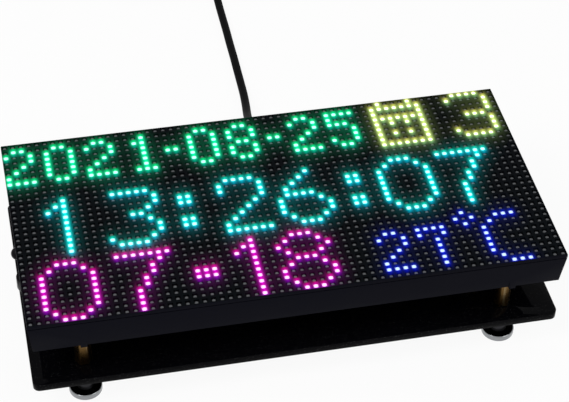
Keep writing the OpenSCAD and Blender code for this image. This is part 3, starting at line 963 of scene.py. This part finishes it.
@dataclass
class LampGrid:
    """Where the lamps are, which are lit, and how their light falls off."""

    columns: int = 64
    rows: int = 32
    edge_gap: float = 0.15 * MM
    core_reach: float = 1.0 * MM
    near_reach: float = 1.02 * MM
    far_reach: float = 1.65 * MM
    near_level: float = 1.22
    far_level: float = 0.085
    faint_after: float = 7.0
    core_edge: int = 4
    ahead_share: float = 0.62
    colour_shift: tuple[float, float, float] = (0.2 * MM, 0.0, -0.2 * MM)
    pitch: float = field(init=False)
    lit: dict[Hue, list[tuple[int, int]]] = field(init=False)

    def __post_init__(self) -> None:
        """Works out the pitch and reads the lit lamps from the frame."""
        low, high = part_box("display_mask")
        self.pitch = (high.x - low.x + 2.0 * self.edge_gap) / self.columns
        self.lit = {hue: self._cells(hue.node) for hue in Hue}
        for sign in SIGNS:
            others = set(self.lit[sign.hue]) - sign.lamps("# ")
            self.lit[sign.hue] = sorted(others | sign.lamps("#"))

    def _cells(self, node: str) -> list[tuple[int, int]]:
        """Column and row of each tile of a lit node."""
        points = coordinates(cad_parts[node]).tolist()
        return sorted({self.cell_at(x, y) for x, y, _z in points})

    def cell_at(self, x: float, y: float) -> tuple[int, int]:
        """Column and row of the lamp nearest to a point."""
        column = round(x / self.pitch + (self.columns - 1) / 2.0)
        row = round((self.rows - 1) / 2.0 - y / self.pitch)
        return column, row

    def offsets(self, points: np.ndarray) -> np.ndarray:
        """X and Y of each point from the middle of the lamp nearest to it, in metres."""
        middle = np.array([self.columns - 1, self.rows - 1]) / 2.0
        steps = points[:, :2] / self.pitch + middle
        return (steps - np.rint(steps)) * self.pitch

    def centre(self, column: int, row: int) -> tuple[float, float]:
        """X and Y of a lamp, in metres."""
        x = (column - (self.columns - 1) / 2.0) * self.pitch
        y = ((self.rows - 1) / 2.0 - row) * self.pitch
        return x, y

    def light_at(self, points: np.ndarray, heart: float) -> np.ndarray:
        """Light that the lit lamps send to points on the face.

        Args:
            points: Rows of x, y, z in metres.
            heart: Level of a lit lamp's own core, which only its resin shows.

        Returns:
            Rows of red, green and blue; 1 is white.
        """
        total = np.zeros((len(points), 3))
        reach = self.faint_after * self.far_reach
        for hue, cells in self.lit.items():
            for cell in cells:
                x, y = self.centre(*cell)
                near = np.abs(points[:, 0] - x) + np.abs(points[:, 1] - y) < reach
                right = points[near, 0] - x
                ahead = (points[near, 1] - y) * self.ahead_share
                for channel, shift in enumerate(self.colour_shift):
                    away = np.hypot(right, ahead - shift)
                    spread = self.near_level * np.exp(-((away / self.near_reach) ** 2))
                    spread += self.far_level * np.exp(-away / self.far_reach)
                    total[near, channel] += spread * hue.spill[channel]
                if heart:
                    away = np.hypot(right, ahead) / self.core_reach
                    level = heart * np.exp(-(away**self.core_edge))
                    total[near] += level[:, None] * np.array(hue.core)
        return total

    def light_up(
        self, obj: bpy.types.Object, share: Callable[[np.ndarray], np.ndarray], heart: float = 0.0
    ) -> None:
        """Writes the light on a mesh as its glow attribute.

        Args:
            obj: The mesh object.
            share: Gives the share of the light that each vertex gets.
            heart: Level of a lit lamp's own core.
        """
        points = coordinates(obj)
        light = self.light_at(points, heart) * share(points)[:, None]
        glow = obj.data.attributes.new(GLOW, "FLOAT_COLOR", "POINT")
        glow.data.foreach_set("color", np.column_stack([light, np.ones(len(light))]).ravel())


@dataclass
class Lamps:
    """All lamp packages, those that are lit apart from the others by colour."""

    grid: LampGrid
    core_level: float = 0.6
    pool_share: float = 1.7
    body_share: float = 1.25
    unlit_share: float = 0.6
    cup_radius: float = 0.7 * MM
    cup_margin: float = 1.05
    cup_sides: int = 12
    cup_proud: float = 0.16 * MM
    rim: float = 0.08 * MM
    pool_depth: float = 0.05 * MM

    def build(self) -> None:
        """Models one package, repeats it over the grid and parts the lit ones."""
        lamps = self._package()
        right = Vector((self.grid.pitch, 0.0, 0.0))
        forward = Vector((0.0, -self.grid.pitch, 0.0))
        lamps.repeat(self.grid.columns, right).repeat(self.grid.rows, forward)
        for hue, cells in self.grid.lit.items():
            self._part(lamps, hue, set(cells))
        pool_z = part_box("led_rows")[1].z - self.pool_depth
        lamps.paint("lamp_body", "lamp_package").mark(
            lambda centre, way: faces_up(centre, way) and abs(centre.z - pool_z) < HAIR
        )
        self.grid.light_up(lamps.obj, lambda points: np.full(len(points), self.unlit_share))
        lamps.ready("lamp_package", "led_rows")

    def _package(self) -> Piece:
        """The package at the first lamp: a square body with a round resin pool."""
        low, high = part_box("led_rows")
        half = (high.y - low.y) / 2.0 - (self.grid.rows - 1) / 2.0 * self.grid.pitch
        x, y = self.grid.centre(0, 0)
        body = Piece.box(
            "unlit_lamps",
            Vector((x - half, y - half, low.z)),
            Vector((x + half, y + half, high.z - self.cup_proud)),
        )
        body.delete(faces_down)
        foot = Vector((x, y, high.z - self.cup_proud))
        cup = Piece.rod("cup", self.cup_radius, self.cup_proud, foot, self.cup_sides)
        cup.delete(faces_down).inset(faces_up, self.rim, -self.pool_depth)
        return body.join(cup)

    def _part(self, lamps: Piece, hue: Hue, cells: set[tuple[int, int]]) -> None:
        """Parts the lamps of one colour from the others, and raises their light."""
        lamps.edit(
            lamps.pick(Part.FACES, lambda centre, _way: self.grid.cell_at(*centre.xy) in cells),
            lambda: bpy.ops.mesh.separate(type="SELECTED"),
        )
        parted = next(other for other in bpy.context.selected_objects if other != lamps.obj)
        parted.name = hue.node.replace("lit_", "lamps_")
        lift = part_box(hue.node)[1].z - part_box("led_rows")[1].z
        piece = Piece(parted).shift(Vector((0.0, 0.0, lift))).paint("lit_resin")
        self.grid.light_up(parted, self._lit_share, self.core_level)
        piece.ready(hue.node, hue.node)

    def _lit_share(self, points: np.ndarray) -> np.ndarray:
        """More light on a lit lamp's pool than on the body round it."""
        right, ahead = self.grid.offsets(points).T
        outside = np.hypot(right, ahead) > self.cup_radius * self.cup_margin
        return np.where(outside, self.body_share, self.pool_share)


@dataclass
class Mask:
    """The moulded lattice in front of the lamps."""

    grid: LampGrid
    window: float = 1.9 * MM
    outer_round: float = 0.25 * MM
    rim_width: float = 0.3 * MM
    rear_share: float = 0.5
    pillar_radius: float = 1.6 * MM
    pillar_wall: float = 0.75 * MM
    pillar_sides: int = 24
    bore_share: float = 0.9

    def build(self) -> None:
        """Models one cell, repeats it, thickens it and rounds its outer edge."""
        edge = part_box("display_mask")[1]
        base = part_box("led_rows")[0].z
        grid = self.grid
        x, y = grid.centre(0, 0)
        cell = Piece.plane("lattice", grid.pitch, grid.pitch, Vector((x, y, edge.z)))
        cell.edit(
            lambda: bpy.ops.mesh.select_all(action="SELECT"),
            lambda: bpy.ops.mesh.subdivide(number_cuts=1),
            lambda: bpy.ops.mesh.inset(thickness=(grid.pitch - self.window) / 2.0),
            lambda: bpy.ops.mesh.delete(type="FACE"),
        )
        cell.repeat(grid.columns, Vector((grid.pitch, 0.0, 0.0)), merge=True)
        cell.repeat(grid.rows, Vector((0.0, -grid.pitch, 0.0)), merge=True)
        self._trim(cell, edge)
        cell.modifier("SOLIDIFY", thickness=edge.z - base, offset=-1.0)
        cell.bevel(
            lambda centre, _way: _outside(centre, edge, HAIR) and centre.z > edge.z - HAIR,
            self.outer_round,
        )
        cell.smooth(30.0).paint("mask_plastic", "frame_plastic").mark(
            lambda centre, way: _outside(centre, edge, self.rim_width) and abs(way.z) < LEVEL
        )
        grid.light_up(cell.obj, lambda points: self._share(points, edge, base))
        pillars = self._pillars(base)
        cell.ready("mask_plastic", "display_mask")
        pillars.ready("mask_plastic")

    def _trim(self, cell: Piece, edge: Vector) -> None:
        """Draws the outermost line of the lattice in to the module's real edge."""
        full = Vector((self.grid.columns, self.grid.rows, 0.0)) * self.grid.pitch / 2.0
        for axis in (0, 1):
            ratio = [1.0, 1.0, 1.0]
            ratio[axis] = edge[axis] / full[axis]
            cell.edit(
                cell.pick(
                    Part.VERTICES,
                    lambda centre, _way: abs(centre[axis]) > full[axis] - HAIR,
                ),
                lambda: bpy.ops.transform.resize(value=ratio, center_override=(0.0, 0.0, 0.0)),
            )

    def _share(self, points: np.ndarray, edge: Vector, base: float) -> np.ndarray:
        """Full light on the face, less at the rear and none on the outer sides."""
        hair = 2.0 * HAIR
        outer = (np.abs(points[:, 0]) > edge.x - hair) | (np.abs(points[:, 1]) > edge.y - hair)
        share = np.ones(len(points))
        share[points[:, 2] < base + hair] = self.rear_share
        share[outer] = 0.0
        return share

    def _pillars(self, base: float) -> Piece:
        """The ten screw pillars behind the lattice."""
        centres = screw_centres()
        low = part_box("display_mask")[0].z
        foot = Vector((*centres[0], low))
        first = Piece.rod(
            "mask_pillars", self.pillar_radius, base - low, foot, self.pillar_sides
        )
        first.inset(faces_down, self.pillar_wall, -self.bore_share * (base - low))
        others = [
            first.copy("pillar", Vector((x - centres[0][0], y - centres[0][1], 0.0)))
            for x, y in centres[1:]
        ]
        return first.join(*others).smooth().paint("mask_plastic")


def _outside(centre: Vector, edge: Vector, hair: float) -> bool:
    """Whether a point lies at the outer edge of the face."""
    return abs(centre.x) > edge.x - hair or abs(centre.y) > edge.y - hair


def screw_centres() -> list[tuple[float, float]]:
    """X and Y of each mask screw, to within 0.6 mm, from the vertices of their node.

    The vertices are sorted into strips along X. A screw that lies across two strips gives two
    centres, and their mean stands for it.
    """
    strip = 4.0 * MM
    reach = 6.0 * MM
    points = coordinates(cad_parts["mask_screws"])[:, :2]
    strips = np.rint(points[:, 0] / strip).astype(int)
    centres: list[tuple[float, float]] = []
    for place in sorted(set(strips)):
        for side in (-1.0, 1.0):
            group = points[(strips == place) & (points[:, 1] * side > 0.0)]
            centres.append(tuple((group.min(0) + group.max(0)) / 2.0))
    return _distinct(centres, reach)


def _distinct(points: list[tuple[float, float]], reach: float) -> list[tuple[float, float]]:
    """Points with those closer than a reach averaged into one."""
    groups: list[list[tuple[float, float]]] = []
    for point in points:
        home = next((g for g in groups if math.dist(g[0], point) < reach), None)
        if home is None:
            groups.append([point])
        else:
            home.append(point)
    return [tuple(np.mean(group, axis=0)) for group in groups]


# ---------------------------------------------------------------- module, stand and controller


@dataclass
class Module:
    """Frame, board and what is on the board's rear."""

    frame_edge: float = 0.3 * MM
    chip_edge: float = 0.12 * MM

    CHIPS = {
        "drivers": "driver_chips",
        "buffers": "buffer_chips",
        "row_switches": "row_switch_chips",
    }

    def build(self) -> None:
        """Rounds the frame's and the chips' edges and dresses the rest."""
        soft_copy("moulded_frame", "panel_frame", "frame_plastic", self.frame_edge)
        for name, node in self.CHIPS.items():
            soft_copy(name, node, "chip_plastic", self.chip_edge, 1)
        dress("lamp_board", "led_board")
        dress("turned_brass", "frame_inserts")
        dress("screw_steel", "mask_screws")
        dress("tinned_leads", "driver_leads", "power_pins")
        dress("can_aluminium", "capacitor_cans")
        dress("header_plastic", "capacitor_bases", "data_in_shroud", "data_out_shroud")
        dress("pin_gold", "data_pins")
        dress("header_white", "power_header")


@dataclass
class Stand:
    """Base plate, posts and feet."""

    plate_edge: float = 0.25 * MM
    post_edge: float = 0.3 * MM
    foot_edge: float = 0.12 * MM
    cup_height: float = 2.35 * MM
    neck_share: float = 0.6

    CORNERS = ("front_left", "front_right", "rear_left", "rear_right")

    def build(self) -> None:
        """Builds the plate, the four posts and the four feet."""
        soft_copy("acrylic_plate", "base_plate", "black_acrylic", self.plate_edge)
        for corner in self.CORNERS:
            soft_copy(f"brass_{corner}", f"post_{corner}", "turned_brass", self.post_edge, 1)
            self._foot(corner)
        dress("magnet_nickel", "foot_magnets")
        dress("screw_steel", "foot_studs")

    def _foot(self, corner: str) -> None:
        """One foot: a bright cup below a neck darkened with painted shade.

        Args:
            corner: Which corner it stands at.
        """
        low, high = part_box(f"foot_{corner}")
        middle = (low + high) / 2.0
        reach = (high.x - low.x) / 2.0 * self.neck_share

        def on_neck(centre: Vector, _way: Vector) -> bool:
            """Whether a face belongs to the neck."""
            near = (centre - middle).to_2d().length < reach
            return near and centre.z > low.z + self.cup_height

        piece = Piece.copy_of_node(f"cup_{corner}", f"foot_{corner}").soften(self.foot_edge)
        # The neck's faces get the near-black nickel, which is painted shade.
        piece.smooth().paint("foot_nickel", "neck_painted_shade").mark(on_neck)
        piece.ready("foot_nickel", f"foot_{corner}")


@dataclass
class Controller:
    """The board that drives the module, with its parts."""

    def build(self) -> None:
        """Rounds the edges of what is moulded, cast or cut, and dresses the rest."""
        soft_copy("controller", "controller_board", "controller_mask", 0.1 * MM, 1)
        soft_copy("radio_board", "radio_module", "radio_board", 0.08 * MM, 1)
        soft_copy("radio_screen", "radio_can", "screened_can", 0.25 * MM)
        soft_copy("cell_holder", "coin_cell_holder", "header_plastic", 0.2 * MM)
        soft_copy("backup_cell", "coin_cell", "cell_steel", 0.3 * MM)
        soft_copy("beeper", "buzzer", "chip_plastic", 0.3 * MM)
        soft_copy("infrared_eye", "ir_receiver", "receiver_epoxy", 0.3 * MM)
        dress("header_plastic", "data_socket")
        dress("header_white", "power_socket")
        dress("plug_steel", "usb_socket")
        dress("sensor_lens", "light_sensor")


# ---------------------------------------------------------------- the power cable


@dataclass
class PowerCable:
    """The cable from the controller's socket to its coil behind the clock."""

    diameter: float = 3.5 * MM
    samples_per_span: int = 5
    points_per_turn: int = 36
    rings: int = 3
    straight: float = 4.0 * MM
    plug_wall: float = 0.3 * MM

    ROUTE_MM = (
        (4.2, 64.0, 23.4), (4.8, 72.0, 19.6), (5.8, 80.0, 14.8), (6.9, 88.0, 10.0),
        (8.0, 96.0, 6.2), (9.2, 105.0, 3.4), (10.0, 114.0, 2.1), (10.3, 123.0, 0.0),
        (10.5, 132.0, 0.0), (10.7, 141.0, 0.0), (10.8, 150.0, 0.0), (11.0, 159.0, 0.0),
        (11.1, 168.0, 0.0), (11.2, 177.0, 0.0), (11.4, 186.0, 0.0), (11.5, 196.0, 0.0),
        (11.5, 207.0, 0.0),
    )

    def build(self) -> None:
        """Lays the cable, then makes its plugs and its tie."""
        low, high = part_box("device_plug_grip")
        start = Vector(((low.x + high.x) / 2.0, high.y, (low.z + high.z) / 2.0))
        points = self._whole_path(start)
        cable = self._curve(points)
        length = sum((b - a).length for a, b in zip(points, points[1:]))
        grips = [
            soft_copy("clock_plug", "device_plug_grip", "plug_grip", 0.5 * MM, 3),
            soft_copy("supply_grip", "supply_plug_grip", "plug_grip", 0.6 * MM, 3),
        ]
        shells = [
            soft_copy("clock_plug_shell", "device_plug_shell", "plug_steel", 0.12 * MM),
            soft_copy("supply_shell", "supply_plug_shell", "plug_steel", 0.12 * MM),
        ]
        tie = soft_copy("strap", "cord_tie", "tie_fabric", 0.25 * MM)
        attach(cable, "root")
        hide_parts("power_cord", "cord_coil")
        LOG.info("cable: %.3f m", length)

    def _whole_path(self, start: Vector) -> list[Vector]:
        """Centreline from the clock's plug, round the coil and to the supply plug."""
        route = [start, start + Vector((0.0, self.straight, 0.0))]
        table = self.diameter / 2.0
        route += [Vector((x * MM, y * MM, max(z * MM, table))) for x, y, z in self.ROUTE_MM]
        coil = self._coil()
        tail = self._tail(coil[-1])
        return self._smooth([*route, coil[0]])[:-1] + coil + self._smooth([coil[-1], *tail])[1:]

    def _smooth(self, knots: list[Vector]) -> list[Vector]:
        """A smooth run through knots, each span cut into short steps."""
        run = [knots[0]]
        padded = [2.0 * knots[0] - knots[1], *knots, 2.0 * knots[-1] - knots[-2]]
        for p0, p1, p2, p3 in zip(padded, padded[1:], padded[2:], padded[3:]):
            for step in range(1, self.samples_per_span + 1):
                t = step / self.samples_per_span
                run.append(
                    0.5 * (
                        2.0 * p1 + (p2 - p0) * t
                        + (2.0 * p0 - 5.0 * p1 + 4.0 * p2 - p3) * t * t
                        + (3.0 * p1 - p0 - 3.0 * p2 + p3) * t * t * t
                    )
                )
        return run

    def _coil(self) -> list[Vector]:
        """Turns of the coil: in along the lower layer, out along the upper one.

        Returns:
            Points from the coil's right side to the place where the cable leaves it.
        """
        low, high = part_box("cord_coil")
        middle = (low + high) / 2.0
        half = self.diameter / 2.0
        outer, centre, inner = (
            (high.x - low.x) / 2.0 - half - ring * self.diameter for ring in range(self.rings)
        )
        lower, upper = low.z + half, low.z + half + self.diameter
        radius_at = ((0, outer), (300, outer), (360, centre), (660, centre), (720, inner),
                     (1230, inner), (1290, centre), (1590, centre), (1650, outer), (1890, outer))
        height_at = ((0, lower), (940, lower), (1020, upper), (1890, upper))
        last = radius_at[-1][0]
        count = round(last / 360.0 * self.points_per_turn)
        points = []
        for index in range(count + 1):
            turned = last * index / count
            radius, angle = _eased(turned, radius_at), math.radians(turned)
            x = middle.x + radius * math.cos(angle)
            y = middle.y + radius * math.sin(angle)
            points.append(Vector((x, y, _eased(turned, height_at))))
        return points

    def _tail(self, start: Vector) -> list[Vector]:
        """Knots from the coil down into the supply plug's relief."""
        low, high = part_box("supply_plug_grip")
        end = Vector((high.x - self.plug_wall, start.y, (low.z + high.z) / 2.0))
        run = end - start
        falls = ((0.5, 0.1), (0.7, 0.55), (0.87, 0.97), (1.0, 1.0))
        return [start + Vector((run.x * share, 0.0, run.z * fall)) for share, fall in falls]

    def _curve(self, points: list[Vector]) -> bpy.types.Object:
        """A round tube along the points."""
        data = bpy.data.curves.new("power_cable", "CURVE")
        data.dimensions = "3D"
        data.bevel_depth = self.diameter / 2.0
        data.bevel_resolution = 3
        data.use_fill_caps = True
        spline = data.splines.new("POLY")
        spline.points.add(len(points) - 1)
        for knot, point in zip(spline.points, points):
            knot.co = (*point, 1.0)
        spline.use_smooth = True
        data.materials.append(FINISHES.get("cord_jacket"))
        return put_in_scene("power_cable", data)


def _eased(place: float, stops: Sequence[tuple[float, float]]) -> float:
    """A value that eases smoothly from stop to stop."""
    for (start, first), (end, last) in zip(stops, stops[1:]):
        if place <= end:
            share = (place - start) / (end - start)
            return first + (last - first) * share * share * (3.0 - 2.0 * share)
    return stops[-1][1]


# ---------------------------------------------------------------- camera, floor and light


@dataclass
class Studio:
    """Camera, pale floor and soft light."""

    camera_at: Vector = field(default_factory=lambda: Vector((-0.10624, -0.47789, 0.48662)))
    camera_aim: Vector = field(default_factory=lambda: Vector((0.00716, 0.01764, 0.02658)))
    camera_roll: float = math.radians(1.531)
    lens: float = 114.3
    sensor: float = 36.0
    floor_size: float = 6.0
    floor_white: float = 0.9
    floor_lift: float = 0.93
    ambient: float = 0.6

    SOFTBOXES = (
        ("key", Vector((-0.75, -0.35, 1.0)), 0.6, 7.0),
        ("fill", Vector((0.8, -0.6, 0.9)), 0.6, 3.0),
    )

    def build(self) -> None:
        """Sets up everything round the clock."""
        self._camera()
        self._floor()
        self._world()
        for softbox in self.SOFTBOXES:
            self._softbox(*softbox)
        bpy.context.scene.view_settings.view_transform = "Standard"

    def _camera(self) -> None:
        """A long lens from above the front left, rolled a little."""
        data = bpy.data.cameras.new("camera")
        data.lens = self.lens
        data.sensor_width = self.sensor
        data.clip_start = 0.01
        data.clip_end = 50.0
        camera = put_in_scene("camera", data)
        aim = _facing(self.camera_at, self.camera_aim).to_matrix().to_4x4()
        roll = Matrix.Rotation(self.camera_roll, 4, "Z")
        camera.matrix_world = Matrix.Translation(self.camera_at) @ aim @ roll
        bpy.context.scene.camera = camera

    def _floor(self) -> None:
        """A wide pale table top that keeps the clock's shadow."""
        floor = Piece.plane("table_top", self.floor_size, self.floor_size, Vector())
        graph = Graph(bpy.data.materials.new("table_top"))
        paper = graph.node("ShaderNodeBsdfDiffuse", {}, {"Color": _rgba((self.floor_white,) * 3)})
        white = graph.node("ShaderNodeEmission", {}, {"Strength": 1.0})
        lifted = graph.node(
            "ShaderNodeMixShader", {}, {0: graph.seen() * self.floor_lift, 1: paper, 2: white}
        )
        graph.close("ShaderNodeOutputMaterial", lifted)
        floor.obj.data.materials.append(graph.owner)
        floor.obj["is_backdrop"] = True

    def _world(self) -> None:
        """White to the eye, softer as light."""
        graph = Graph(bpy.data.worlds.new("studio"))
        level = graph.seen() * (1.0 - self.ambient) + self.ambient
        sky = graph.node("ShaderNodeBackground", {}, {"Strength": level})
        graph.close("ShaderNodeOutputWorld", sky)
        bpy.context.scene.world = graph.owner

    @staticmethod
    def _softbox(name: str, place: Vector, size: float, power: float) -> None:
        """A square soft lamp that looks at the clock.

        Args:
            name: Name of the lamp.
            place: Where it hangs.
            size: Side of its square.
            power: Its power in watts.
        """
        data = bpy.data.lights.new(name, "AREA")
        data.shape = "SQUARE"
        data.size = size
        data.energy = power
        lamp = put_in_scene(name, data)
        lamp.location = place
        lamp.rotation_mode = "QUATERNION"
        lamp.rotation_quaternion = _facing(place, Vector())


def _facing(place: Vector, target: Vector) -> Quaternion:
    """The turn that points a camera or a lamp at a target."""
    return (target - place).to_track_quat("-Z", "Y")


def note_sizes() -> None:
    """Works out the CAD box and the dressed box as lists, which are not kept."""
    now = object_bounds()
    [[list(corner) for corner in box] for box in (CAD_BOX, now)]


def main() -> None:
    """Builds the studio, the cable and each sub-assembly in order."""
    logging.basicConfig(level=logging.INFO, format="%(name)s %(message)s")
    Studio().build()
    PowerCable().build()
    grid = LampGrid()
    Lamps(grid).build()
    Mask(grid).build()
    Module().build()
    Stand().build()
    Controller().build()
    note_sizes()


if __name__ == "__main__":
    main()
